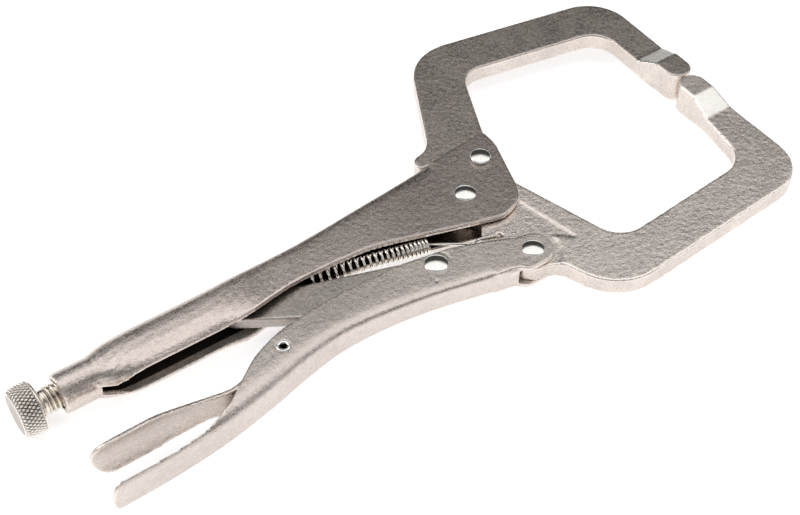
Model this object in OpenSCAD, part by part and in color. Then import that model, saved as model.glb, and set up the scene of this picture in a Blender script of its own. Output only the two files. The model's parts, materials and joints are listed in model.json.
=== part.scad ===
// Locking C-clamp pliers, 280 mm class, lying on one side.
// +X runs from the adjusting knob to the jaws, +Y towards the fixed jaw, +Z up.
// Every outline is drawn round the jaw pivot, with Z = 0 at the middle of the tool's
// thickness, and in_place() moves it to the origin under the middle of the tool.

/* [Linkage] */
// Lever pivot, along the tool from the jaw pivot
lever_pivot_x = 3.5; // [2.5:0.1:4]
// Lever pivot, across the tool from the jaw pivot
lever_pivot_y = -33.5; // [-34:0.1:-33]
// Link pivot on the lever, along the tool
link_pivot_x = -27.2; // [-28:0.1:-27]
// Link pivot on the lever, across the tool
link_pivot_y = -20.8; // [-21.2:0.1:-20.4]
// Height of the adjusting screw's axis above the jaw pivot, across the tool
screw_y = 4.5; // [4.4:0.1:4.7]
// Centre of the link's nose, along the tool
nose_x = -95; // [-95.5:0.1:-94.5]

/* [Jaws] */
// Thickness of the forged C arms
arm_t = 6.4; // [5.8:0.1:6.4]
// Thickness of the moving jaw's tail
tail_t = 5.8; // [5.4:0.1:5.8]
// Thickness of the raised jaw tips
tip_t = 12; // [10:0.5:12]
// Radius of each rounded jaw nose
nose_r = 5.2; // [4.8:0.1:5.4]
// Gap between the two noses when the tool is locked shut
nose_gap = 0.3; // [0.3:0.1:1]

/* [Handles] */
// Thickness of the handle sheet
sheet_t = 2; // [1.8:0.1:2]
// Thickness of the lever sheet
lever_sheet_t = 1.8; // [1.6:0.1:1.8]
// Inner half width of the fixed handle between its plates
handle_gap = 3.35; // [3.3:0.05:3.4]
// Inner half width of the lever between its ears
lever_gap = 3.05; // [3:0.05:3.1]
// Outer radius of the rolled neck
neck_r = 6.8; // [6.6:0.1:7]

/* [Screw and knob] */
// Outer radius of the screw's thread
screw_r = 4.68; // [4.6:0.01:4.7]
// Radius of the hole in the neck
neck_bore_r = 4.75; // [4.75:0.01:4.78]
// Radius of the knurled knob
knob_r = 8.5; // [8:0.1:8.6]
// Length of the knurled knob
knob_l = 8; // [7:0.5:9]
// Length of thread left showing between neck and knob
thread_showing = 6.5; // [6:0.5:8]

/* [Rivets] */
// Shank radius of the large rivets
shank_r = 3; // [2.8:0.1:3.2]
// Head radius of the two jaw and lever pivots
head_r = 3.9; // [3.7:0.1:4.1]
// Height of a domed rivet head
head_h = 1.3; // [1:0.1:1.5]
// Radius of the release lever's tubular pin
pin_r = 2; // [1.8:0.1:2]
// Radial clearance between a shank and the part that turns on it
running_gap = 0.05; // [0.03:0.01:0.08]

/* [Spring] */
// Outer radius of the coils
coil_r = 3.1; // [2.9:0.1:3.1]
// Thickness of the spring wire
wire_d = 0.9; // [0.8:0.1:1]
// Number of turns in the coil
turns = 21; // [16:1:22]

/* [Hidden] */
$fn = 64;

steel = "#a9a39d";
dark_steel = "#8d8781";
bright_steel = "#c9c5c0";

// Pivots in the plane of the tool
jaw_pivot = [0, 0];
lever_pivot = [lever_pivot_x, lever_pivot_y];
link_pivot = [link_pivot_x, link_pivot_y];
link_nose = [nose_x, screw_y];
jaw_rivet = [14.5, 11];
release_pivot = [-88.2, -23.8];
spring_hole = [-1, -21];
spring_anchor = [-72, 3.4];

handle_w = handle_gap + sheet_t;
lever_w = lever_gap + lever_sheet_t;
neck_end_x = -153.3;
neck_start_x = -141;
knob_right_x = neck_end_x - thread_showing;
knob_left_x = knob_right_x - knob_l;
arm_right_x = 110.3;
link_nose_r = 4;
link_t = 4.4;
// The screw tip stands back from the nose, which is the pivot where the linkage is opened
tip_gap = 4.9;
screw_tip_x = nose_x - link_nose_r - tip_gap;

module in_place() {
    translate([-centre_x, -centre_y, lift_z]) children();
}

// ---- Outlines -------------------------------------------------------------------

function unit(v) = v / norm(v);

// Points of the arc that rounds corner b, between a and c, with radius r
function corner_arc(a, b, c, r) =
    r == 0 ? [b] :
    let(u = unit(a - b), v = unit(c - b), half = acos(u * v) / 2,
        centre = b + unit(u + v) * r / sin(half),
        first = b + u * r / tan(half) - centre,
        turn = (cross(u, v) < 0 ? 1 : -1) * (180 - 2 * half),
        start = atan2(first.y, first.x), steps = ceil(abs(turn) / 8))
    [for (i = [0 : steps]) centre + r * [cos(start + turn * i / steps), sin(start + turn * i / steps)]];

// A closed outline from corners written as [x, y, radius]
function rounded(corners) =
    let(n = len(corners), p = [for (c = corners) [c.x, c.y]])
    [for (i = [0 : n - 1]) each corner_arc(p[(i + n - 1) % n], p[i], p[(i + 1) % n], corners[i].z)];

// An open path from points written as [x, y, radius], with its inner corners rounded
function rounded_path(stops) =
    let(n = len(stops), p = [for (c = stops) [c.x, c.y]])
    [p[0], for (i = [1 : n - 2]) each corner_arc(p[i - 1], p[i], p[i + 1], stops[i].z), p[n - 1]];

// Direction of an open path at point i
function heading(p, i) = unit(p[min(i + 1, len(p) - 1)] - p[max(i - 1, 0)]);

// A closed strip of thickness t, all on the left of an open path
function strip(p, t) =
    concat(p, [for (i = [len(p) - 1 : -1 : 0]) p[i] + t * [-heading(p, i).y, heading(p, i).x]]);

module slab(t) {
    linear_extrude(height = t, center = true) children();
}

module post(at, r, h) {
    translate([at.x, at.y, 0]) cylinder(r = r, h = h, center = true);
}

// ---- Lofted sheet channels -------------------------------------------------------

function reversed(list) = [for (i = [len(list) - 1 : -1 : 0]) list[i]];

// Faces that close a ring of n points starting at index base. An even ring is closed in strips
// between points i and n - 1 - i, which suits a curved sheet as well as a convex ring.
function cap_faces(n, base) =
    n % 2 == 1
        ? [[for (i = [0 : n - 1]) base + i]]
        : [for (i = [0 : n / 2 - 2]) let(a = base + i, b = base + n - 1 - i)
            each [[a, a + 1, b - 1], [a, b - 1, b]]];

// Closed solid through rings that all have the same number of points
module loft(rings) {
    n = len(rings[0]);
    last = len(rings) - 1;
    polyhedron(
        points = [for (ring = rings) each ring],
        faces = concat(
            [for (face = cap_faces(n, 0)) reversed(face)],
            cap_faces(n, last * n),
            [for (j = [0 : last - 1], i = [0 : n - 1]) let(k = (i + 1) % n, a = j * n, b = a + n)
                each [[a + i, a + k, b + k], [a + i, b + k, b + i]]]),
        convexity = 6);
}

function signed_power(v, p) = sign(v) * pow(abs(v), p);

// Station at place x on the smooth curve through a list of stations, whose x values all rise or fall
function station_at(list, x) =
    let(n = len(list), rising = list[n - 1].x > list[0].x,
        i = min(n - 2, len([for (s = list) if (rising ? s.x <= x : s.x >= x) 1]) - 1),
        a = list[i], b = list[i + 1], h = b.x - a.x, t = (x - a.x) / h,
        before = list[max(i - 1, 0)], after = list[min(i + 2, n - 1)],
        slope_a = (b - before) / (b.x - before.x), slope_b = (after - a) / (after.x - a.x))
    (2 * t * t * t - 3 * t * t + 1) * a + (t * t * t - 2 * t * t + t) * h * slope_a
        + (3 * t * t - 2 * t * t * t) * b + (t * t * t - t * t) * h * slope_b;

// The same list with steps of even length between its ends
function smoothed(list, count) =
    let(first = list[0].x, last = list[len(list) - 1].x)
    [for (i = [0 : count]) i == count ? list[len(list) - 1] : station_at(list, first + (last - first) * i / count)];

// Ring at x of the lever: half width w, closed end at y_closed, open end beyond the walls.
// square sets how square the closed end is, and spread how far away the open end closes.
function channel_ring(x, y_closed, y_mid, w, square, spread) =
    [for (i = [0 : 35]) let(a = i * 10 + 5, s = sin(a), c = cos(a))
        s >= 0
            ? [x, y_mid + (y_closed - y_mid) * signed_power(s, 2 / square), w * signed_power(c, 2 / square)]
            : [x, y_mid - spread * signed_power(s, 2 / 2.4), w * signed_power(c, 2 / 2.4)]];

// ---- Fixed handle ----------------------------------------------------------------

mouth_x = -2;
plate_overlap = 0.6;
slot_y = -5.2;

// [x, spine, half width, squareness, spread, edge] from the mouth to the neck
handle_stations = [
    [mouth_x, 19.4, handle_w, 8, 60, -14.3], [-20, 17.4, handle_w, 7.5, 60, -8.8],
    [-40, 15.5, handle_w, 7, 60, -2.9], [-50, 14.6, handle_w, 6, 60, -1.9], [-62, 13.8, 5.5, 5, 50, -1.5],
    [-72, 13.4, 5.9, 4.5, 34, -2], [-80, 13.2, 6.5, 4, 28, -3.4], [-86, 13.1, 7.1, 3.5, 24, -4.8],
    [-91, 13.1, 7.4, 3.1, 18, -5.4], [-98, 13.1, 7.6, 2.7, 12.6, slot_y], [-112, 13.2, 7.6, 2.5, 12.2, slot_y],
    [-128, 13.2, 7.5, 2.4, 12, slot_y], [-136, 12.7, 7.2, 2.2, 9.9, slot_y],
    [-140, 11.8, 6.9, 2, 8, -3.6], [-142.8, screw_y + 6.4, 6.4, 2, 6.4, -1.7]];
half_points = 11;
handle_steps = 46;

// One side of the handle's wall, from its edge at -Y to the middle of the spine
function wall(s, inset) =
    let(top = s[1] - inset - screw_y, w = s[2] - inset, spread = s[4] - (s[4] < 10 ? inset : 0),
        low = asin(min(0.97, pow((screw_y - s[5]) / spread, 1.2))))
    [for (i = [0 : half_points]) let(a = -low + (90 + low) * i / half_points)
        a < 0
            ? [s[0], screw_y - spread * pow(sin(-a), 2 / 2.4), w * pow(cos(a), 2 / 2.4)]
            : [s[0], screw_y + top * pow(sin(a), 2 / s[3]), w * pow(max(0, cos(a)), 2 / s[3])]];

function flipped(points) = [for (i = [len(points) - 1 : -1 : 0]) [points[i].x, points[i].y, -points[i].z]];

// The C shaped section of the sheet at one station
function handle_ring(s) =
    let(outer = wall(s, 0), inner = wall(s, sheet_t), n = half_points)
    concat([for (i = [0 : n - 1]) outer[i]], [outer[n]], [for (i = [1 : n]) flipped(outer)[i]],
           [for (i = [n : -1 : 1]) flipped(inner)[i]], [inner[n]], [for (i = [n - 1 : -1 : 0]) inner[i]]);

// Side view of the flat plates in front of the mouth
plate_outline = rounded([
    [mouth_x - plate_overlap, -14.1, 0], [4.5, -16.3, 10], [15.2, -13, 13], [23.6, 14, 12],
    [23.6, 22.3, 2], [0, 19.6, 0], [mouth_x - plate_overlap, 19.3, 0]]);

module fixed_handle() {
    color(dark_steel) in_place() difference() {
        union() {
            loft([for (s = smoothed(reversed(handle_stations), handle_steps)) handle_ring(s)]);
            for (side = [-1, 1]) translate([0, 0, side * (handle_gap + sheet_t / 2)])
                slab(sheet_t) polygon(plate_outline);
            translate([neck_end_x, screw_y, 0]) rotate([0, 90, 0])
                cylinder(r = neck_r, h = neck_start_x - neck_end_x);
            // Lanced tab that holds the spring
            translate([spring_anchor.x - 2.5, spring_anchor.y - 2, -0.8]) cube([5, 11, 1.6]);
        }
        translate([neck_end_x - 1, screw_y, 0]) rotate([0, 90, 0])
            cylinder(r = neck_bore_r, h = neck_start_x - neck_end_x + 1.5);
        post(jaw_pivot, shank_r, 40);
        post(jaw_rivet, shank_r, 40);
        post(spring_anchor, 1, 10);
    }
}

// ---- Jaws ------------------------------------------------------------------------

nose_x_fixed = 104.4;
nose_x_moving = 103.2;
nose_meet_y = 3.05;
nose_fixed_y = nose_meet_y + nose_gap / 2 + nose_r;
nose_moving_y = nose_meet_y - nose_gap / 2 - nose_r;

fixed_jaw_outline = rounded([
    [21, 6.5, 1], [24.4, 22, 30], [38, 54, 9], [96.6, 43.5, 10.5], [96.6, 20, 20], [99.2, 13, 12],
    [99.2, nose_fixed_y, 0], [nose_x_fixed + nose_r, nose_fixed_y, 0], [109.8, 20, 30],
    [arm_right_x, 59.2, 17], [27.4, 74.2, 20], [3.6, 27.6, 9], [-4.4, 25.8, 3.4], [-5.8, 20, 2.2],
    [-1.6, 20, 0.5], [-1.6, 15.4, 0.5], [-8, 14.6, 1], [-8, 9, 1]]);

moving_jaw_outline = rounded([
    [-7.5, 3, 0], [8, 6, 0], [17.3, 1.9, 2], [32.1, -45.7, 11], [92.4, -40.9, 11], [96, -17, 30],
    [98, -8, 12], [98, nose_moving_y, 0], [nose_x_moving + nose_r, nose_moving_y, 0],
    [108.6, -57.7, 16], [16.6, -64.4, 20], [8.6, -43.4, 6], [4, -41.2, 3], [-3.6, -39.8, 7.4],
    [-7.6, -19.6, 2.5], [-2, -12, 6]]);

// The knob and the arms set how far the tool reaches; the knob is the lowest piece
centre_x = (knob_left_x + max([for (p = fixed_jaw_outline) p.x])) / 2;
centre_y = (max([for (p = fixed_jaw_outline) p.y]) + min([for (p = moving_jaw_outline) p.y])) / 2;
lift_z = knob_r;

// Side view of the ramps that rise from the arm's face to the raised tip
module tip_ramp(arm_y, tip_y, end_y) {
    rotate([90, 0, 90]) linear_extrude(height = 40, center = true) polygon([
        [arm_y, -arm_t / 2], [tip_y, -tip_t / 2], [end_y, -tip_t / 2],
        [end_y, tip_t / 2], [tip_y, tip_t / 2], [arm_y, arm_t / 2]]);
}

module fixed_jaw() {
    color(dark_steel) in_place() difference() {
        union() {
            slab(arm_t) polygon(fixed_jaw_outline);
            intersection() {
                slab(tip_t) union() {
                    polygon(fixed_jaw_outline);
                    translate([nose_x_fixed, nose_fixed_y]) circle(r = nose_r);
                }
                translate([nose_x_fixed, 0, 0]) tip_ramp(22.4, 14.4, -5);
            }
        }
        post(jaw_pivot, 9.6, 20);
        post(jaw_rivet, shank_r, 20);
    }
}

// Area of the moving jaw that is ground thinner, so that the lever's ears pass over it
recess_outline = [[-30, 30], [12.4, 30], [14.2, -11], [20.6, -37.3], [9.4, -28.2], [3.5, -30],
                  [0, -50], [-30, -50]];
recess_r = 10.1;

module moving_jaw() {
    color(steel) in_place() difference() {
        union() {
            slab(arm_t) polygon(moving_jaw_outline);
            slab(tail_t) circle(r = 8.8);
            intersection() {
                slab(tip_t) union() {
                    polygon(moving_jaw_outline);
                    translate([nose_x_moving, nose_moving_y]) circle(r = nose_r);
                }
                translate([nose_x_moving, 0, 0]) tip_ramp(-17.2, -7.4, 15);
            }
        }
        for (side = [-1, 1]) translate([0, 0, side * (tail_t / 2 + 5)]) {
            slab(10) polygon(recess_outline);
            slab(10) translate(lever_pivot) circle(r = recess_r);
        }
        post(jaw_pivot, shank_r + running_gap, 20);
        post(lever_pivot, shank_r + running_gap, 20);
        post(spring_hole, 1.1, 20);
    }
}

// ---- Lever handle ----------------------------------------------------------------

// [x, spine, half width, squareness]
lever_stations = [
    [-5.5, -38.4, lever_w, 6], [-20, -34.9, lever_w, 6], [-33, -32, lever_w, 6], [-46, -30, 5, 5],
    [-60, -28.9, 5.6, 4.5], [-71, -29.2, 6.3, 4], [-85, -31.8, 7, 3.6], [-97, -35, 7.4, 3.2],
    [-117, -38.9, 7.6, 3.2], [-138, -40.9, 7.9, 3.2], [-160, -41.6, 8.2, 3]];
lever_steps = 40;

function lever_rings(inset) = [for (s = smoothed(lever_stations, lever_steps))
    channel_ring(s[0], s[1] + inset, s[1] + 9, s[2] - inset, s[3], 200)];

lever_outline = rounded([
    [-5.5, -45, 0], [-5.5, -22.4, 0], [-20, -17.2, 30], [-40, -13.8, 40], [-66, -14.2, 60], [-86, -17.4, 30],
    [-98, -22.2, 30], [-114, -34.2, 20], [-124, -37.9, 24], [-136, -39.2, 30], [-162, -40, 0],
    [-162, -50, 0]]);

lever_ear_outline = rounded([
    [-14, -36.2, 0], [-14, -19.5, 0], [-5.5, -22.6, 4], [2, -26.2, 3], [9.5, -27.8, 5],
    [11.2, -34, 6], [7, -40.6, 6], [-3, -40.2, 3], [-6.2, -37.2, 2]]);

// End of the lever seen square to its spine
module rounded_end(x_end, half_w, length) {
    rotate([-90, 0, 0]) linear_extrude(height = 120, center = true)
        polygon(rounded([[x_end, -half_w, half_w * 0.95], [x_end + length, -half_w, 0],
                         [x_end + length, half_w, 0], [x_end, half_w, half_w * 0.95]]));
}

module lever_handle() {
    color(steel) in_place() difference() {
        union() {
            intersection() {
                difference() {
                    loft(lever_rings(0));
                    loft(lever_rings(lever_sheet_t));
                }
                slab(40) polygon(lever_outline);
                rounded_end(-157.4, 8.2, 200);
            }
            for (side = [-1, 1]) translate([0, 0, side * (lever_gap + lever_sheet_t / 2)])
                slab(lever_sheet_t) polygon(lever_ear_outline);
        }
        // Room for the jaw's tail between the ears
        translate([-9, -35.5, -lever_gap]) cube([4, 20, 2 * lever_gap]);
        post(lever_pivot, shank_r, 20);
        post(link_pivot, shank_r, 20);
        post(release_pivot, pin_r, 20);
    }
}

// ---- Toggle link and release lever -----------------------------------------------

link_end_r = 5.6;
link_outline = rounded([
    [-94.2, 8.2, 0], [-62, -3.6, 30], [-25.6, -15.8, 0], [-31, -24.6, 0],
    [-70, -15.6, 20], [-76.6, -12.6, 5], [-93.5, -2.4, 12], [-97.6, 1.8, 0]]);

module toggle_link() {
    color(dark_steel) in_place() difference() {
        union() {
            slab(link_t) polygon(link_outline);
            post(link_pivot, link_end_r, link_t);
            post(link_nose, link_nose_r, link_t);
        }
        post(link_pivot, shank_r + running_gap, 20);
    }
}

release_t = 1.6;
release_inner_w = 4.9;
release_tab_w = 7.4;
release_nose_w = 3.8;
// Upper face of the release lever's sheet, from its tip to its nose
release_path = rounded_path([
    [-157.5, -24.1, 0], [-148, -23.7, 20], [-134, -23.5, 30], [-120, -25.6, 40], [-108, -27.8, 12],
    [-95, -21.6, 8], [-86, -20.6, 10], [-75.5, -20.4, 0]]);

module release_lever() {
    color(steel) in_place() difference() {
        union() {
            intersection() {
                slab(2 * release_tab_w) polygon(strip(release_path, -release_t));
                rotate([-90, 0, 0]) linear_extrude(height = 120, center = true) polygon(rounded([
                    [-156.4, -release_tab_w, 7.2], [-136, -release_tab_w, 20], [-119, -release_inner_w, 20],
                    [-84, -release_inner_w, 6], [-79, -release_nose_w, 6], [-70, -release_nose_w, 0],
                    [-70, release_nose_w, 0], [-79, release_nose_w, 6], [-84, release_inner_w, 6],
                    [-119, release_inner_w, 20], [-136, release_tab_w, 20], [-156.4, release_tab_w, 7.2]]));
            }
            for (side = [-1, 1]) translate([0, 0, side * (release_inner_w - release_t / 2)])
                slab(release_t) translate(release_pivot) circle(r = 4);
        }
        post(release_pivot, pin_r + running_gap, 20);
    }
}

// ---- Rivets ----------------------------------------------------------------------

// A solid rivet with a dome at each end, over plates whose outer faces are 2 * half_t apart.
// The dome stands on a straight sided part of height rise.
module domed_rivet(at, half_t, r, rise = 0, dome_h = head_h) {
    dome_r = (r * r + dome_h * dome_h) / (2 * dome_h);
    post(at, shank_r, 2 * half_t);
    for (side = [0, 1]) mirror([0, 0, side]) translate([at.x, at.y, half_t]) {
        if (rise > 0) cylinder(r = r, h = rise);
        translate([0, 0, rise]) intersection() {
            translate([0, 0, dome_h - dome_r]) sphere(r = dome_r);
            cylinder(r = r, h = dome_h);
        }
    }
}

module jaw_pivot_rivet() {
    color(bright_steel) in_place() domed_rivet(jaw_pivot, handle_w, head_r);
}

module lever_pivot_rivet() {
    color(bright_steel) in_place() domed_rivet(lever_pivot, lever_w, head_r);
}

module link_pivot_rivet() {
    color(bright_steel) in_place() domed_rivet(link_pivot, lever_w, head_r + 0.2);
}

// A taller rivet with straight sided heads
module fixed_jaw_rivet() {
    color(bright_steel) in_place() domed_rivet(jaw_rivet, handle_w, 3.6, 1.3, 0.7);
}

// A tube with its ends turned over
module release_pin() {
    half_l = 7.3;
    color(bright_steel) in_place() translate([release_pivot.x, release_pivot.y, 0]) difference() {
        union() {
            cylinder(r = pin_r, h = 2 * half_l, center = true);
            for (side = [0, 1]) mirror([0, 0, side]) translate([0, 0, half_l]) cylinder(r = pin_r + 0.3, h = 0.4);
        }
        cylinder(r = pin_r - 0.8, h = 20, center = true);
    }
}

// ---- Adjusting screw and knob ----------------------------------------------------

stub_r = 2.95;
stub_l = knob_l - 1.2;
collar_l = 1.8;

module adjusting_screw() {
    color(bright_steel) in_place() translate([0, screw_y, 0]) rotate([0, 90, 0]) union() {
        translate([0, 0, knob_right_x - stub_l]) cylinder(r = stub_r, h = stub_l);
        translate([0, 0, knob_right_x]) cylinder(r = screw_r - 0.5, h = collar_l);
        translate([0, 0, knob_right_x + collar_l])
            cylinder(r = screw_r, h = screw_tip_x - knob_right_x - collar_l);
    }
}

module adjusting_knob() {
    rim = 1;
    color(bright_steel) in_place() translate([knob_left_x, screw_y, 0]) rotate([0, 90, 0]) difference() {
        rotate_extrude() polygon([[0, 0.4], [knob_r - 2.6, 0], [knob_r - rim, 0.3], [knob_r, rim + 0.3],
                                  [knob_r, knob_l - rim], [knob_r - rim, knob_l], [0, knob_l]]);
        translate([0, 0, knob_l - stub_l - 0.2]) cylinder(r = stub_r + running_gap, h = stub_l + 1);
    }
}

// ---- Tension spring --------------------------------------------------------------

coil_start = [-64, 1.35];
coil_end = [-22, -8.75];
coil_mean_r = coil_r - wire_d / 2;
coil_length = norm(coil_end - coil_start);
coil_tilt = atan2(coil_end.y - coil_start.y, coil_end.x - coil_start.x);
steps_per_turn = 12;

// The turns stand further apart at the knob end
function coil_place(t) = coil_length * (1.45 * t - 0.45 * t * t);

module coil() {
    sides = 5;
    rings = [for (i = [0 : turns * steps_per_turn]) let(t = i / (turns * steps_per_turn),
            a = 360 * i / steps_per_turn, out = [0, cos(a), sin(a)])
        [for (k = [0 : sides - 1]) [coil_place(t), 0, 0] + out * (coil_mean_r + wire_d / 2 * cos(72 * k))
            + [wire_d / 2 * sin(72 * k), 0, 0]]];
    loft(rings);
}

// Straight wire between two points in the tool's own directions
module wire(from, to) {
    along = to - from;
    translate(from) rotate([0, acos(along.z / norm(along)), atan2(along.y, along.x)])
        cylinder(d = wire_d, h = norm(along), $fn = 16);
    translate(to) sphere(d = wire_d, $fn = 16);
}

module tension_spring() {
    face_z = tail_t / 2 + wire_d / 2 + 0.05;
    hook = [[coil_end.x, coil_end.y, 0] + [0, 0, 0], [-8.6, -17.6, 0], [-8.6, -19.4, face_z],
            [spring_hole.x, spring_hole.y, face_z], [spring_hole.x, spring_hole.y, 0]];
    tail = [[coil_start.x, coil_start.y, 0], [spring_anchor.x + 3.2, spring_anchor.y, 0],
            [spring_anchor.x + 3.2, spring_anchor.y, 1.4], [spring_anchor.x, spring_anchor.y, 1.4],
            [spring_anchor.x, spring_anchor.y, -1.3]];
    color(bright_steel) in_place() union() {
        translate([coil_start.x, coil_start.y, 0]) rotate([0, 0, coil_tilt]) coil();
        // The end turns come in to the middle, then run on as the two hooks
        translate([coil_start.x, coil_start.y, 0]) rotate([0, 0, coil_tilt]) {
            wire([0, coil_mean_r, 0], [0, 0, 0]);
            wire([coil_length, coil_mean_r, 0], [coil_length, 0, 0]);
        }
        for (path = [hook, tail], i = [0 : len(path) - 2]) wire(path[i], path[i + 1]);
    }
}

fixed_handle();
fixed_jaw();
fixed_jaw_rivet();
jaw_pivot_rivet();
tension_spring();
moving_jaw();
lever_handle();
lever_pivot_rivet();
link_pivot_rivet();
release_pin();
toggle_link();
release_lever();
adjusting_screw();
adjusting_knob();
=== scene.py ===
"""Looks of the locking pliers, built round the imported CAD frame.

Sizes are in millimetres and places are measured from the jaw pivot, as in the CAD source.
at() turns such a place into Blender's metres in the shared frame.
"""

import json
import math

import bmesh
import bpy
import numpy as np
from mathutils import Matrix, Vector


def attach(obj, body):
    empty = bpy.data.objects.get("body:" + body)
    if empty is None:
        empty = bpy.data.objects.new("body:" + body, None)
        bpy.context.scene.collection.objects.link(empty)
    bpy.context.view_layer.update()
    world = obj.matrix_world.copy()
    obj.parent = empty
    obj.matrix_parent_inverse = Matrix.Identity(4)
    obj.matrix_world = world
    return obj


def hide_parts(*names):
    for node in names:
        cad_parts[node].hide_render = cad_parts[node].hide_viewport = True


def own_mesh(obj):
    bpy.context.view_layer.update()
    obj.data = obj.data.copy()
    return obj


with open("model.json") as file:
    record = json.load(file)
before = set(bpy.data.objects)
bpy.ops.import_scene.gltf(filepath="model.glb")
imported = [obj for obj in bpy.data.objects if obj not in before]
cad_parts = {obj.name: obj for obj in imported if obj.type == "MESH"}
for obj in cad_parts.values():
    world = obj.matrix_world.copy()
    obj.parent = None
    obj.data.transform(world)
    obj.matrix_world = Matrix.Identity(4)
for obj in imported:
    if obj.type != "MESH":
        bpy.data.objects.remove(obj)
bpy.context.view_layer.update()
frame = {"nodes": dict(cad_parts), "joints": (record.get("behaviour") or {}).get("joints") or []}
NODES = frame["nodes"]
JOINTS = {joint["name"]: joint for joint in frame["joints"]}
MM = 0.001

JAW_PIVOT = Vector(JOINTS["jaw_hinge"]["pos_m"])


def at(x, y, z=0.0):
    """A place measured in millimetres from the jaw pivot, in the shared frame."""
    return JAW_PIVOT + Vector((x, y, z)) * MM


def joint_place(name):
    """Where a joint's axis is, in millimetres from the jaw pivot."""
    return (Vector(JOINTS[name]["pos_m"]) - JAW_PIVOT) / MM


# ---- Camera, light and floor ---------------------------------------------------------

CAMERA_AIM = at(-33.06, -8.13)
CAMERA_DISTANCE = 505 * MM
CAMERA_ELEVATION = math.radians(47.5)
CAMERA_TURN = math.radians(-34.5)  # the tool's own X axis runs up and to the right in view
LENS = 67.5  # millimetres, on a sensor 36 mm wide
LIGHT_AIM = at(-25, 0)  # near the middle of the tool


def in_view(right, away, up):
    """A direction given as seen by the camera on the ground, in the shared frame."""
    return Matrix.Rotation(CAMERA_TURN, 3, "Z") @ Vector((right, away, up))


def make_camera():
    """The camera, at the photograph's viewing angle."""
    data = bpy.data.cameras.new("camera")
    data.lens = LENS
    data.sensor_width = 36
    data.clip_start = 0.01
    camera = bpy.data.objects.new("camera", data)
    bpy.context.scene.collection.objects.link(camera)
    back = in_view(0, -math.cos(CAMERA_ELEVATION), math.sin(CAMERA_ELEVATION))
    camera.location = CAMERA_AIM + back * CAMERA_DISTANCE
    camera.rotation_euler = back.to_track_quat("Z", "Y").to_euler()
    bpy.context.scene.camera = camera


def area_light(name, direction, distance, size, power):
    """A soft box that faces the tool from a direction given as seen by the camera."""
    data = bpy.data.lights.new(name, "AREA")
    data.shape = "SQUARE"
    data.size = size
    data.energy = power
    light = bpy.data.objects.new(name, data)
    bpy.context.scene.collection.objects.link(light)
    away = in_view(*direction).normalized()
    light.location = LIGHT_AIM + away * distance
    light.rotation_euler = away.to_track_quat("Z", "Y").to_euler()


# Brightness of the studio from the horizon beyond the tool, over the top, to the horizon
# behind the camera: (angle in degrees, strength)
STUDIO_BANDS = [(0, 1.1), (7, 1.0), (12, 0.05), (42, 0.06), (57, 1.15), (92, 1.35), (102, 0.2),
                (138, 0.2), (152, 0.8), (180, 0.9)]
STUDIO_TOP = 1.4  # the strength that the bands are shares of
FLOOR_REACH = 3.0  # metres each way from the middle


def make_world():
    """A studio of bands: pale horizons, a soft box overhead and dim gaps between them."""
    world = bpy.data.worlds.new("studio")
    bpy.context.scene.world = world
    world.use_nodes = True
    tree = world.node_tree
    background = tree.nodes["Background"]
    background.inputs["Strength"].default_value = STUDIO_TOP
    direction = tree.nodes.new("ShaderNodeTexCoord").outputs["Generated"]

    def along(axis):
        node = tree.nodes.new("ShaderNodeVectorMath")
        node.operation = "DOT_PRODUCT"
        node.inputs[1].default_value = axis
        tree.links.new(direction, node.inputs[0])
        return node.outputs["Value"]

    angle = tree.nodes.new("ShaderNodeMath")
    angle.operation = "ARCTAN2"
    tree.links.new(along((0, 0, 1)), angle.inputs[0])
    tree.links.new(along(in_view(0, 1, 0)), angle.inputs[1])
    share = tree.nodes.new("ShaderNodeMath")
    share.operation = "DIVIDE"
    share.inputs[1].default_value = math.pi
    tree.links.new(angle.outputs[0], share.inputs[0])
    bands = tree.nodes.new("ShaderNodeValToRGB")
    stops = bands.color_ramp.elements
    for degrees, _ in STUDIO_BANDS[1:-1]:
        stops.new(degrees / 180)
    for stop, (_, strength) in zip(stops, STUDIO_BANDS):
        level = strength / STUDIO_TOP
        stop.color = (level, level, level, 1)
    tree.links.new(share.outputs[0], bands.inputs["Fac"])
    tree.links.new(bands.outputs["Color"], background.inputs["Color"])


def make_floor():
    """A pale floor that glows a little, so that it stays white round the tool."""
    r = FLOOR_REACH
    floor = bpy.data.meshes.new("floor")
    floor.from_pydata([(-r, -r, 0), (r, -r, 0), (r, r, 0), (-r, r, 0)], [], [(0, 1, 2, 3)])
    obj = bpy.data.objects.new("floor", floor)
    bpy.context.scene.collection.objects.link(obj)
    material = bpy.data.materials.new("pale_floor")
    material.use_nodes = True
    shader = material.node_tree.nodes["Principled BSDF"]
    shader.inputs["Base Color"].default_value = (0.93, 0.93, 0.93, 1)
    shader.inputs["Roughness"].default_value = 0.8
    shader.inputs["Emission Color"].default_value = (0.97, 0.98, 1.0, 1)
    shader.inputs["Emission Strength"].default_value = 0.6
    floor.materials.append(material)


make_camera()
make_world()
make_floor()
area_light("left_side", (-1.0, 0.1, 0.6), 0.9, 0.35, 1.0)
bpy.context.scene.view_settings.view_transform = "Standard"


# ---- Materials -----------------------------------------------------------------------

# Sizes, in millimetres, of the patterns that plated steel shows
GRAIN = 0.5
BLOTCH = 1.55
LUMP = 1.9
CLOUD = 8.0
BROAD = 38.0
ALONG_TOOL = (0.06, 1, 1)  # how streaks are stretched
REAR_FADE = (at(-20, 0).x, at(-85, 0).x)  # where a pressing starts and ends growing brighter, as a painted highlight


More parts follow.
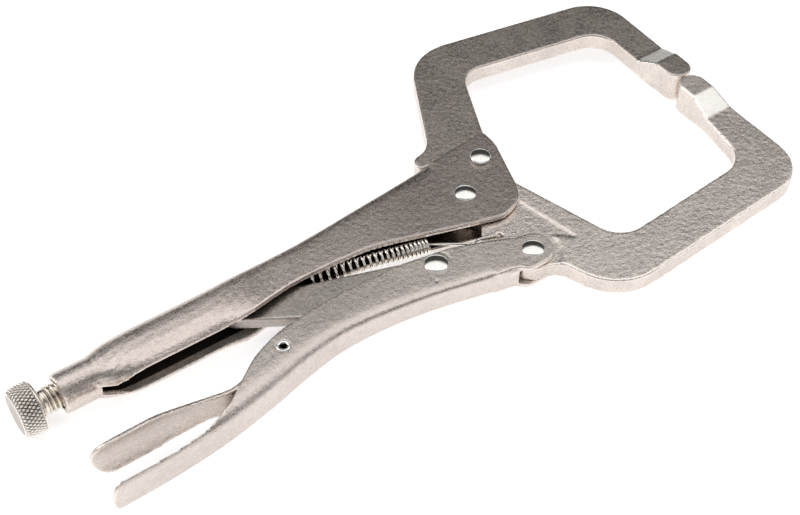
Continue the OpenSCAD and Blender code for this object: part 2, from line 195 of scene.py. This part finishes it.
class Nodes:
    """Short ways to add shader nodes to one material."""

    def __init__(self, material):
        material.use_nodes = True
        self.tree = material.node_tree
        self.shader = self.tree.nodes["Principled BSDF"]
        self.coords = self.tree.nodes.new("ShaderNodeTexCoord").outputs["Object"]

    def link(self, source, target):
        self.tree.links.new(source, target)

    def noise(self, size_mm, detail=2.0, rough=0.5, vector=None):
        node = self.tree.nodes.new("ShaderNodeTexNoise")
        node.inputs["Scale"].default_value = 1 / (size_mm * MM)
        node.inputs["Detail"].default_value = detail
        node.inputs["Roughness"].default_value = rough
        self.link(vector or self.coords, node.inputs["Vector"])
        return node.outputs["Fac"]

    def stretched(self, factors):
        node = self.tree.nodes.new("ShaderNodeVectorMath")
        node.operation = "MULTIPLY"
        node.inputs[1].default_value = factors
        self.link(self.coords, node.inputs[0])
        return node.outputs["Vector"]

    def spread(self, value, low, high, to_low, to_high):
        node = self.tree.nodes.new("ShaderNodeMapRange")
        node.inputs["From Min"].default_value = low
        node.inputs["From Max"].default_value = high
        node.inputs["To Min"].default_value = to_low
        node.inputs["To Max"].default_value = to_high
        self.link(value, node.inputs["Value"])
        return node.outputs["Result"]

    def math(self, operation, a, b):
        node = self.tree.nodes.new("ShaderNodeMath")
        node.operation = operation
        for socket, value in zip(node.inputs, (a, b)):
            if isinstance(value, (int, float)):
                socket.default_value = value
            else:
                self.link(value, socket)
        return node.outputs["Value"]

    def shade(self, colour, factor):
        """A colour multiplied by a number that varies over the surface."""
        node = self.tree.nodes.new("ShaderNodeVectorMath")
        node.operation = "SCALE"
        node.inputs[0].default_value = colour
        self.link(factor, node.inputs["Scale"])
        return node.outputs["Vector"]

    def bump(self, height, depth_mm, before=None):
        node = self.tree.nodes.new("ShaderNodeBump")
        node.inputs["Distance"].default_value = depth_mm * MM
        node.inputs["Strength"].default_value = 1.0
        self.link(height, node.inputs["Height"])
        if before is not None:
            self.link(before, node.inputs["Normal"])
        return node.outputs["Normal"]


def plated_steel(name, colour, rough, speckle=0.16, mottle=0.1, bump_mm=0.09, lump_mm=0.12,
                 streaks=0.0, edge_highlight=1.3, hollow_shade=1.0, rear_highlight=1.0):
    """Satin plated steel with a fine grain, slow mottling, painted highlights on its edges and
    painted shade in its hollows.

    Its last three arguments multiply the colour: a painted highlight on edges, painted shade in
    hollows and a painted highlight that grows towards the knob.
    """
    material = bpy.data.materials.new(name)
    n = Nodes(material)
    fine = n.noise(GRAIN, 2.0, 0.7)
    coarse = n.noise(BLOTCH, 2.0, 0.6)
    cloud = n.noise(CLOUD, 3.0, 0.55)
    broad = n.noise(BROAD, 1.0)
    edge = n.tree.nodes.new("ShaderNodeNewGeometry").outputs["Pointiness"]
    factors = [n.spread(coarse, 0.35, 0.65, 1 - speckle * 0.4, 1 + speckle * 0.4),
               n.spread(cloud, 0.3, 0.7, 1 - mottle, 1 + mottle * 0.6),
               n.spread(broad, 0.35, 0.65, 1 - mottle * 0.5, 1 + mottle * 0.3),
               # Brighter on sharp edges as a painted highlight, darker in hollows as painted
               # shade.
               n.spread(edge, 0.505, 0.54, 1.0, edge_highlight),
               n.spread(edge, 0.44, 0.495, hollow_shade, 1.0)]
    if streaks:
        lines = n.noise(GRAIN, 2.0, 0.6, n.stretched(ALONG_TOOL))
        factors.append(n.spread(lines, 0.3, 0.7, 1 - streaks, 1 + streaks))
    # Lighter towards the knob, as a painted highlight.
    if rear_highlight != 1.0:
        split = n.tree.nodes.new("ShaderNodeSeparateXYZ")
        n.link(n.coords, split.inputs[0])
        factors.append(n.spread(split.outputs["X"], *REAR_FADE, 1.0, rear_highlight))
    tone = n.spread(fine, 0.35, 0.65, 1 - speckle, 1 + speckle)
    for factor in factors:
        tone = n.math("MULTIPLY", tone, factor)
    n.link(n.shade(colour, tone), n.shader.inputs["Base Color"])
    n.shader.inputs["Metallic"].default_value = 1.0
    n.link(n.math("ADD", n.spread(fine, 0.3, 0.7, rough - 0.08, rough + 0.1),
                  n.spread(cloud, 0.3, 0.7, -0.03, 0.05)), n.shader.inputs["Roughness"])
    lumps = n.bump(n.noise(LUMP), lump_mm)
    n.link(n.bump(fine, bump_mm, lumps), n.shader.inputs["Normal"])
    return material


def dull_steel(name, colour, rough):
    """Steel inside a pressing or on its cut rim, duller and more uneven than the outside."""
    material = plated_steel(name, colour, rough, speckle=0.3, mottle=0.2, bump_mm=0.05)
    material.node_tree.nodes["Principled BSDF"].inputs["Metallic"].default_value = 0.6
    return material


# Painted highlight: the handle grows lighter towards the knob.
HANDLE = plated_steel("handle_plate", (0.42, 0.37, 0.34), 0.28, mottle=0.05, streaks=0.05,
                      rear_highlight=1.65)
# Painted shade: near-black steel for the inside of the handle's channel and the pin's bore.
INSIDE_SHADE = dull_steel("handle_inside_shade", (0.035, 0.031, 0.028), 0.6)
# The sheared rim of the slot's far wall: its rough surface is real, and it is painted lighter as
# a painted highlight where the near wall shades it.
LIT_SLOT_RIM = dull_steel("lit_slot_rim", (0.72, 0.65, 0.6), 0.5)
LEVER = plated_steel("lever_plate", (0.68, 0.612, 0.562), 0.3, speckle=0.1, mottle=0.05,
                     streaks=0.05)
FIXED_JAW = plated_steel("fixed_jaw_plate", (0.50, 0.445, 0.405), 0.28, speckle=0.18, mottle=0.06)
# Painted lighter than the fixed jaw's steel, as a painted highlight for the light that the moving
# jaw catches.
LIT_MOVING_JAW = plated_steel("lit_moving_jaw_plate", (0.82, 0.745, 0.685), 0.28, speckle=0.14,
                          mottle=0.05, lump_mm=0.15)
# Painted highlight: brighter steel for the jaws' side faces and the handle's lower edges.
SIDE_HIGHLIGHT = plated_steel("side_highlight", (0.70, 0.63, 0.575), 0.26, speckle=0.12, mottle=0.12,
                    bump_mm=0.05, lump_mm=0.08)
GROUND = plated_steel("ground_ramp", (0.86, 0.83, 0.79), 0.28, speckle=0.08, bump_mm=0.03,
                      lump_mm=0.04)
# The darkening in hollows on the rivets, spring, screw and knob below is painted shade; the
# brighter screw and knob edges are a painted highlight.
RIVET = plated_steel("rivet_polish", (0.84, 0.81, 0.77), 0.07, speckle=0.04, mottle=0.03,
                     bump_mm=0.004, lump_mm=0.02, hollow_shade=0.3)
LINK = plated_steel("link_plate", (0.50, 0.455, 0.42), 0.34, speckle=0.2)
RELEASE = plated_steel("release_plate", (0.64, 0.575, 0.525), 0.26, speckle=0.1, mottle=0.05,
                       streaks=0.06)
SPRING = plated_steel("spring_wire", (0.78, 0.74, 0.69), 0.14, speckle=0.1, mottle=0.06,
                      bump_mm=0.004, lump_mm=0.0, hollow_shade=0.4)
SCREW = plated_steel("screw_plate", (0.66, 0.60, 0.53), 0.18, speckle=0.14, bump_mm=0.02,
                     lump_mm=0.04, edge_highlight=1.5, hollow_shade=0.25)
KNOB = plated_steel("knob_plate", (0.66, 0.61, 0.56), 0.16, speckle=0.12, bump_mm=0.02,
                    lump_mm=0.04, edge_highlight=1.5, hollow_shade=0.2)
# Painted shade: darker steel for the knob's outer end face than for its side.
KNOB_END_SHADE = plated_steel("knob_end_shade", (0.42, 0.37, 0.33), 0.3, speckle=0.2, bump_mm=0.05)


# ---- Mesh tools ----------------------------------------------------------------------

def new_object(name, mesh):
    obj = bpy.data.objects.new(name, mesh)
    bpy.context.scene.collection.objects.link(obj)
    return obj


def settle(obj):
    """Applies the object's modifiers to its mesh."""
    graph = bpy.context.evaluated_depsgraph_get()
    mesh = bpy.data.meshes.new_from_object(obj.evaluated_get(graph))
    obj.modifiers.clear()
    obj.data = mesh
    mesh.name = obj.name


def finish_piece(obj, material, body, node):
    """Gives a piece its material and its body, and hides the node it stands for."""
    obj.data.materials.clear()
    obj.data.materials.append(material)
    for polygon in obj.data.polygons:
        polygon.use_smooth = True
    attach(obj, body)
    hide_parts(node)


def paint_zone(obj, material, inside):
    """Gives another material to the faces that pass a test.

    The test is given a face's middle, in millimetres from the jaw pivot, and its normal.
    """
    obj.data.materials.append(material)
    index = len(obj.data.materials) - 1
    for polygon in obj.data.polygons:
        middle = (polygon.center - JAW_PIVOT) / MM
        if inside(middle, polygon.normal):
            polygon.material_index = index


SMOOTHING = 0.5  # share of the way that one round moves a point to its neighbours' middle


def softened(node, name, voxel_mm, rounds):
    """A denser copy of a CAD node with every edge rounded, as forging and tumbling leave it."""
    mesh = NODES[node].data.copy()
    obj = new_object(name, mesh)
    weld = obj.modifiers.new("weld", "WELD")
    weld.merge_threshold = 1e-6
    remesh = obj.modifiers.new("remesh", "REMESH")
    remesh.mode = "VOXEL"
    remesh.voxel_size = voxel_mm * MM
    smooth = obj.modifiers.new("smooth", "SMOOTH")
    smooth.factor = SMOOTHING
    smooth.iterations = rounds
    settle(obj)
    return obj


def soften_zone(obj, inside, rounds):
    """Rounds one part of a mesh further; inside tests a place in millimetres."""
    zone = obj.vertex_groups.new(name="zone")
    chosen = [v.index for v in obj.data.vertices if inside((v.co - JAW_PIVOT) / MM)]
    zone.add(chosen, 1.0, "REPLACE")
    smooth = obj.modifiers.new("smooth", "SMOOTH")
    smooth.vertex_group = "zone"
    smooth.factor = SMOOTHING
    smooth.iterations = rounds
    settle(obj)


def blemish(obj, places, reach_mm, height_mm):
    """Raises small spots of a surface, or sinks them where the height is negative."""
    centres = [at(*place) for place in places]
    for vertex in obj.data.vertices:
        near = min((vertex.co - centre).length for centre in centres) / (reach_mm * MM)
        if near < 1:
            vertex.co += vertex.normal * (height_mm * MM * (1 - near ** 2) ** 2)


def grid_mesh(name, rows):
    """A capped tube skin through closed rows that all have the same number of points."""
    count = len(rows[0])
    points = [point for row in rows for point in row]
    faces = []
    for j in range(len(rows) - 1):
        for i in range(count):
            k = (i + 1) % count
            faces.append((j * count + i, j * count + k, (j + 1) * count + k, (j + 1) * count + i))
    faces.append(tuple(range(count - 1, -1, -1)))
    faces.append(tuple((len(rows) - 1) * count + i for i in range(count)))
    mesh = bpy.data.meshes.new(name)
    mesh.from_pydata([tuple(point) for point in points], [], faces)
    mesh.validate()
    work = bmesh.new()
    work.from_mesh(mesh)
    bmesh.ops.recalc_face_normals(work, faces=work.faces)
    work.to_mesh(mesh)
    work.free()
    return mesh


def turned(name, profile, place, sides):
    """A solid turned about an upright axis from (radius, height) pairs in millimetres."""
    rows = []
    for radius, height in profile:
        angles = [2 * math.pi * i / sides for i in range(sides)]
        rows.append([at(place[0] + radius * math.cos(angle), place[1] + radius * math.sin(angle),
                        height) for angle in angles])
    return new_object(name, grid_mesh(name, rows))


def swept_wire(name, path, radius, sides=12):
    """A round wire along a path of points in metres."""
    path = [Vector(point) for point in path]
    normal = (path[1] - path[0]).orthogonal()
    rows = []
    for i, point in enumerate(path):
        ahead = (path[min(i + 1, len(path) - 1)] - path[max(i - 1, 0)]).normalized()
        normal = (normal - ahead * normal.dot(ahead)).normalized()
        side = ahead.cross(normal)
        rows.append([point + (normal * math.cos(2 * math.pi * k / sides)
                              + side * math.sin(2 * math.pi * k / sides)) * radius
                     for k in range(sides)])
    return new_object(name, grid_mesh(name, rows))


# ---- Forged and pressed pieces -------------------------------------------------------

JAW_TIPS_X = 85  # the raised tips are beyond this
FIXED_RAMP = (14.4, 22.4)  # where the ground ramp starts and ends, in Y
MOVING_RAMP = (-17.2, -7.4)


def jaw_piece(node, name, material, body, ramp):
    """A forged jaw whose trimmed sides are painted brighter as a painted highlight, with a bright
    ground ramp behind its raised tip.
    """
    obj = softened(node, name, voxel_mm=0.42, rounds=5)
    finish_piece(obj, material, body, node)
    # The side faces are painted brighter as a painted highlight.
    paint_zone(obj, SIDE_HIGHLIGHT, lambda p, n: abs(n.z) < 0.5)
    paint_zone(obj, GROUND, lambda p, n: p.x > JAW_TIPS_X and ramp[0] < p.y < ramp[1]
               and abs(n.z) > 0.7)


PLATE_BACK = -84  # the open plates end here, and the closed channel runs on to the neck
SLOT_LIP = -1.6
SEAM_PATCH = [(-148.6, -2.1, 3.2), (-146.4, -2.4, 2.7), (-144.4, -2.5, 2.2)]
SEAM_BEADS = [(-151.9, -1.8, 4.0), (-151.2, -2.4, 3.2), (-142.9, -1.3, 4.6), (-142.2, -2.2, 3.4)]
PLATE_NICKS = [(-3.1, 8.9, 6.9), (-2.4, 8.1, 6.9), (-11.0, 6.7, 6.9), (-10.4, 5.9, 6.9)]


def faces_inward(place, normal):
    """Whether a face of the fixed handle lines the inside of its channel."""
    if place.x > 8 or place.y < (SLOT_LIP if place.x < PLATE_BACK else 1.0):
        return False
    return normal.z * place.z < -0.2 if abs(place.z) > 3 else normal.y < -0.3


def fixed_handle():
    """The fixed handle's pressing, with its neck seam, painted shade inside and painted
    highlights on its lower edges and slot rim.
    """
    obj = softened("fixed_handle", "fixed_handle_pressing", voxel_mm=0.4, rounds=4)
    finish_piece(obj, HANDLE, "fixed_frame", "fixed_handle")
    # The channel's inner faces are painted near black as shade.
    paint_zone(obj, INSIDE_SHADE, faces_inward)
    # The lower edges are painted bright as a painted highlight.
    paint_zone(obj, SIDE_HIGHLIGHT, lambda p, n: p.x > -60 and n.y < -0.5 and abs(p.z) > 3.5)
    # The far rim is painted lighter as a painted highlight.
    paint_zone(obj, LIT_SLOT_RIM, lambda p, n: p.x < PLATE_BACK and p.y < SLOT_LIP
               and -9 < p.z < -3 and n.z > 0.1)
    blemish(obj, SEAM_PATCH, 2.6, 0.3)
    blemish(obj, SEAM_BEADS, 1.1, 0.55)
    blemish(obj, PLATE_NICKS, 0.7, -0.3)


BEND = 3.4  # how far from the spine's outer face the lever's sheet is still bent
BENT_STRETCH = (-110, -7.5)  # the bends run over this length, in X
BEND_ROUNDS = 34
SLICE = 2  # length of the slices in which the spine's outer face is looked for
LEVER_NICKS = [(-31.5, -27.3, 5.0), (-148.6, -39.4, 7.4), (-148.7, -40.4, 6.9),
               (-148.3, -41.4, 6.2)]
RIVET_ARC = [(-27.5 + 5.4 * math.cos(angle), -20.5 + 5.4 * math.sin(angle), 5.0)
             for angle in np.linspace(-0.25, 0.8, 12)]


def lever_handle():
    """The lever's pressing, with the wide bends between its spine and its ears."""
    obj = softened("lever_handle", "lever_handle_pressing", voxel_mm=0.4, rounds=4)
    spine_y = {}
    for vertex in obj.data.vertices:
        place = (vertex.co - JAW_PIVOT) / MM
        key = round(place.x / SLICE)
        spine_y[key] = min(place.y, spine_y.get(key, 0))
    soften_zone(obj, lambda p: BENT_STRETCH[0] < p.x < BENT_STRETCH[1] and abs(p.z) > 1.5
                and p.y < spine_y.get(round(p.x / SLICE), 0) + BEND, BEND_ROUNDS)
    finish_piece(obj, LEVER, "lever", "lever_handle")
    blemish(obj, LEVER_NICKS, 0.7, -0.35)
    blemish(obj, RIVET_ARC, 0.6, -0.2)


DISH_DEPTH = 2.4
DISH_HALF_W = 7.4
DISH_LIFT = 0.45  # share of the depth by which the middle rises, so that the edges fall less
DISH_START = -100
DISH_ONSET = 22  # length over which the dish grows to its full depth


def release_lever():
    """The release lever's strip, its thumb plate dished across its width."""
    obj = softened("release_lever", "release_lever_pressing", voxel_mm=0.35, rounds=4)
    finish_piece(obj, RELEASE, "release", "release_lever")
    for vertex in obj.data.vertices:
        place = (vertex.co - JAW_PIVOT) / MM
        onset = min(1.0, max(0.0, (DISH_START - place.x) / DISH_ONSET))
        across = (place.z / DISH_HALF_W) ** 2
        vertex.co.y += DISH_DEPTH * onset * (DISH_LIFT - across) * MM


jaw_piece("fixed_jaw", "fixed_jaw_forging", FIXED_JAW, "fixed_frame",
          FIXED_RAMP)
jaw_piece("moving_jaw", "moving_jaw_forging", LIT_MOVING_JAW, "jaw",
          MOVING_RAMP)
fixed_handle()
lever_handle()
finish_piece(softened("toggle_link", "toggle_link_stamping", voxel_mm=0.35, rounds=4), LINK,
             "link", "toggle_link")
release_lever()


# ---- Rivets --------------------------------------------------------------------------

HANDLE_HALF = 5.35  # half the thickness over the handle's plates
LEVER_HALF = 4.85  # half the thickness over the lever's ears
SHANK_R = 3.0


def dome_profile(half, radius, rise=0.2, dome_h=1.1):
    """One domed head on a straight-sided part, and the shank down to the rivet's middle."""
    curve = [(radius * t, half + rise + dome_h * (1 - t ** 1.7) ** 0.8)
             for t in np.linspace(1.0, 0.08, 14)]
    return [(SHANK_R, 0), (SHANK_R, half), (radius, half), *curve, (0.02, half + rise + dome_h)]


MARK_DIRECTION = in_view(-0.05, -1, 0)
MARK_DEPTH = 0.18


def both_sided(name, profile, place, body, node):
    """A rivet with the same head on both sides, each with a short radial tool mark."""
    rows = [(r, -h) for r, h in reversed(profile)] + profile[1:]
    obj = turned(name, rows, place, 96)
    head_r = max(r for r, _ in profile)
    for vertex in obj.data.vertices:
        out = (vertex.co - at(*place)) / MM
        flat = Vector((out.x, out.y, 0))
        in_reach = 0.3 * head_r < flat.length < 0.95 * head_r
        if in_reach and flat.angle(MARK_DIRECTION) < math.radians(3):
            vertex.co.z -= math.copysign(MARK_DEPTH * MM, out.z)
    finish_piece(obj, RIVET, body, node)


FIXED_JAW_RIVET = (14.5, 11)
both_sided("jaw_pivot_head", dome_profile(HANDLE_HALF, 3.9), (0, 0),
           "fixed_frame", "jaw_pivot_rivet")
both_sided("fixed_jaw_head", dome_profile(HANDLE_HALF, 3.6, 1.3, 0.7), FIXED_JAW_RIVET,
           "fixed_frame", "fixed_jaw_rivet")
both_sided("lever_pivot_head", dome_profile(LEVER_HALF, 3.9), joint_place("lever_hinge")[:2],
           "lever", "lever_pivot_rivet")
both_sided("link_pivot_head", dome_profile(LEVER_HALF, 4.1), joint_place("link_hinge")[:2],
           "lever", "link_pivot_rivet")


def tube_pin():
    """The release lever's pin: a tube with its ends rolled over."""
    outer, bore, half = 2.0, 1.2, 7.05
    centre = joint_place("release_hinge")
    lip = [(outer, half - 0.15), (outer + 0.22, half), (outer + 0.28, half + 0.15),
           (outer + 0.2, half + 0.32), (outer - 0.05, half + 0.4),
           (bore + 0.25, half + 0.34), (bore, half + 0.05)]
    profile = [(r, -h) for r, h in reversed(lip)] + lip
    obj = turned("release_pin_tube", profile, centre[:2], 48)
    work = bmesh.new()
    work.from_mesh(obj.data)
    caps = [face for face in work.faces if len(face.verts) > 4]
    bmesh.ops.delete(work, geom=caps, context="FACES_ONLY")
    rims = [edge for edge in work.edges if edge.is_boundary]
    bmesh.ops.bridge_loops(work, edges=rims)
    bmesh.ops.recalc_face_normals(work, faces=work.faces)
    work.to_mesh(obj.data)
    work.free()
    finish_piece(obj, RIVET, "lever", "release_pin")
    # The bore is painted near black as shade.
    paint_zone(obj, INSIDE_SHADE,
               lambda p, n: (p.xy - centre.xy).length < bore + 0.1 and abs(p.z) < half)


tube_pin()


# ---- Screw and knob ------------------------------------------------------------------

SCREW_Y = 4.5
SCREW_R = 4.68
SCREW_TIP = -103.9
PITCH = 1.6
THREAD_DEPTH = 0.8
COLLAR_LENGTH = 1.9  # plain part between the knob and the thread
COLLAR_STEP = 0.55  # how much thinner the collar is than the thread's crests
KNOB_RIGHT = -159.8
KNOB_LENGTH = 8.0
KNOB_LEFT = KNOB_RIGHT - KNOB_LENGTH
KNOB_R = 8.5
OUTER_ROUND = (2.6, 2.1)  # how far along and how far inwards the knob's outer end is rounded
INNER_ROUND = (1.0, 0.9)
KNURL_TEETH = 40
KNURL_LEAD = 2.05
KNURL_CUT = 0.6
KNURL_HALF_CUT = 0.26  # half the width of a cut, as a share of the distance between cuts


def round_bar(name, stations, radius_at, sides):
    """A bar along the screw's axis whose radius depends on place and angle."""
    rows = []
    for x in stations:
        row = []
        for i in range(sides):
            angle = 2 * math.pi * i / sides
            radius = radius_at(x, angle)
            row.append(at(x, SCREW_Y + radius * math.cos(angle), radius * math.sin(angle)))
        rows.append(row)
    return new_object(name, grid_mesh(name, rows))


def thread_radius(x, angle):
    """Rolled thread with rounded crests, fading out at the collar and at the tip."""
    collar_end = KNOB_RIGHT + COLLAR_LENGTH
    if x < KNOB_RIGHT:
        return 2.9
    if x < collar_end:
        return SCREW_R - COLLAR_STEP
    phase = ((x / PITCH) - angle / (2 * math.pi)) % 1.0
    wave = 0.5 + 0.5 * math.cos(2 * math.pi * phase)
    fade = min(1.0, (x - collar_end) / 0.8, max(0.0, (SCREW_TIP - x) / 1.2))
    depth = THREAD_DEPTH * (1 - wave ** 0.7) * fade + COLLAR_STEP * (1 - fade)
    return SCREW_R - depth


def threaded_rod():
    """The adjusting screw, from its stub inside the knob to its tip."""
    stations = [KNOB_RIGHT - 6.6, KNOB_RIGHT - 0.01, KNOB_RIGHT, KNOB_RIGHT + 1.7,
                KNOB_RIGHT + COLLAR_LENGTH]
    stations += list(np.arange(KNOB_RIGHT + 2.0, SCREW_TIP, 0.14)) + [SCREW_TIP]
    finish_piece(round_bar("threaded_rod", stations, thread_radius, 40), SCREW,
                 "screw", "adjusting_screw")


def rounding(from_end, reach, depth):
    """How much a rounded end takes off the radius at a distance from that end."""
    if from_end >= reach:
        return 0.0
    return depth * (1 - math.sqrt(max(0.0, 1 - (1 - from_end / reach) ** 2)))


def knob_radius(x, angle):
    """Diamond knurling that runs over the rounded outer end and stops at a plain inner rim."""
    s = x - KNOB_LEFT
    body = KNOB_R - rounding(s, *OUTER_ROUND) - rounding(KNOB_LENGTH - s, *INNER_ROUND)
    cuts = []
    for hand in (-1, 1):
        phase = (KNURL_TEETH * angle / (2 * math.pi) + hand * s / KNURL_LEAD) % 1.0
        cuts.append(max(0.0, 1 - abs(phase - 0.5) / KNURL_HALF_CUT))
    inside = min(1.0, max(0.0, (KNOB_LENGTH - INNER_ROUND[0] - s) / 0.35), s / 0.5)
    return body - KNURL_CUT * max(cuts) * inside


def knurled_knob():
    """The adjusting knob, with close stations over its rounded ends."""
    end_steps = [0, 0.02, 0.1, 0.25, 0.5, 0.75, 1.0]
    stations = [KNOB_LEFT + s for s in end_steps]
    stations += list(np.arange(KNOB_LEFT + 1.08, KNOB_RIGHT - 1.0, 0.1))
    stations += [KNOB_RIGHT - s for s in reversed(end_steps)]
    obj = round_bar("knurled_knob", stations, knob_radius, 400)
    finish_piece(obj, KNOB, "knob", "adjusting_knob")
    # The outer end face is painted darker as painted shade.
    paint_zone(obj, KNOB_END_SHADE, lambda p, n: p.x < KNOB_LEFT + 0.05)


threaded_rod()
knurled_knob()


# ---- Spring --------------------------------------------------------------------------

WIRE_R = 0.45
COIL_R = 2.65
TURNS = 21
COIL_START = (-64, 1.35)
COIL_END = (-22, -8.75)
COIL_OPENING = 0.45  # how much wider than the mean pitch the coils nearest the knob are
STEPS_A_TURN = 24
TAIL_HALF = 2.9  # half the thickness of the moving jaw's tail
HOLE = (-1, -21)  # in the tail, where the jaw hook goes in
ANCHOR = (-72, 3.4)  # where the anchor hook holds the handle's tab


def spring_path():
    """Anchor hook, coils that open up towards the knob, and jaw hook, as one wire."""
    start, end = Vector((*COIL_START, 0)), Vector((*COIL_END, 0))
    along = (end - start).normalized()
    across = Vector((-along.y, along.x, 0))
    up = Vector((0, 0, 1))
    ax, ay = ANCHOR
    path = [(ax, ay, -1.3), (ax, ay, 1.0), (ax + 0.6, ay, 1.5), (ax + 2.4, ay, 1.5),
            (ax + 3.4, ay, 0.9), (ax + 4.4, ay - 0.3, 0)]
    steps = TURNS * STEPS_A_TURN
    length = (end - start).length
    for i in range(steps + 1):
        t = i / steps
        angle = 2 * math.pi * TURNS * t
        grow = min(1.0, 4 * t * TURNS, 4 * (1 - t) * TURNS)
        radius = COIL_R * (0.25 + 0.75 * grow)
        centre = start + along * length * ((1 + COIL_OPENING) * t - COIL_OPENING * t * t)
        path.append(centre + (across * math.cos(angle) + up * math.sin(angle)) * radius)
    hx, hy = HOLE
    top = TAIL_HALF + WIRE_R + 0.05  # the jaw hook runs over the tail's face
    path += [(-10.5, -16.4, 0.2), (-8.9, -17.6, 0.8), (-8.3, -18.4, 2.4), (-7.6, -19.0, top),
             (hx - 1.2, hy + 0.2, top), (hx - 0.2, hy, top - 0.4), (hx, hy, top - 1.4),
             (hx, hy, 0)]
    return [at(*point) for point in path]


spring = swept_wire("coiled_spring", spring_path(), WIRE_R * MM)
finish_piece(spring, SPRING, "fixed_frame", "tension_spring")
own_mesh(spring)
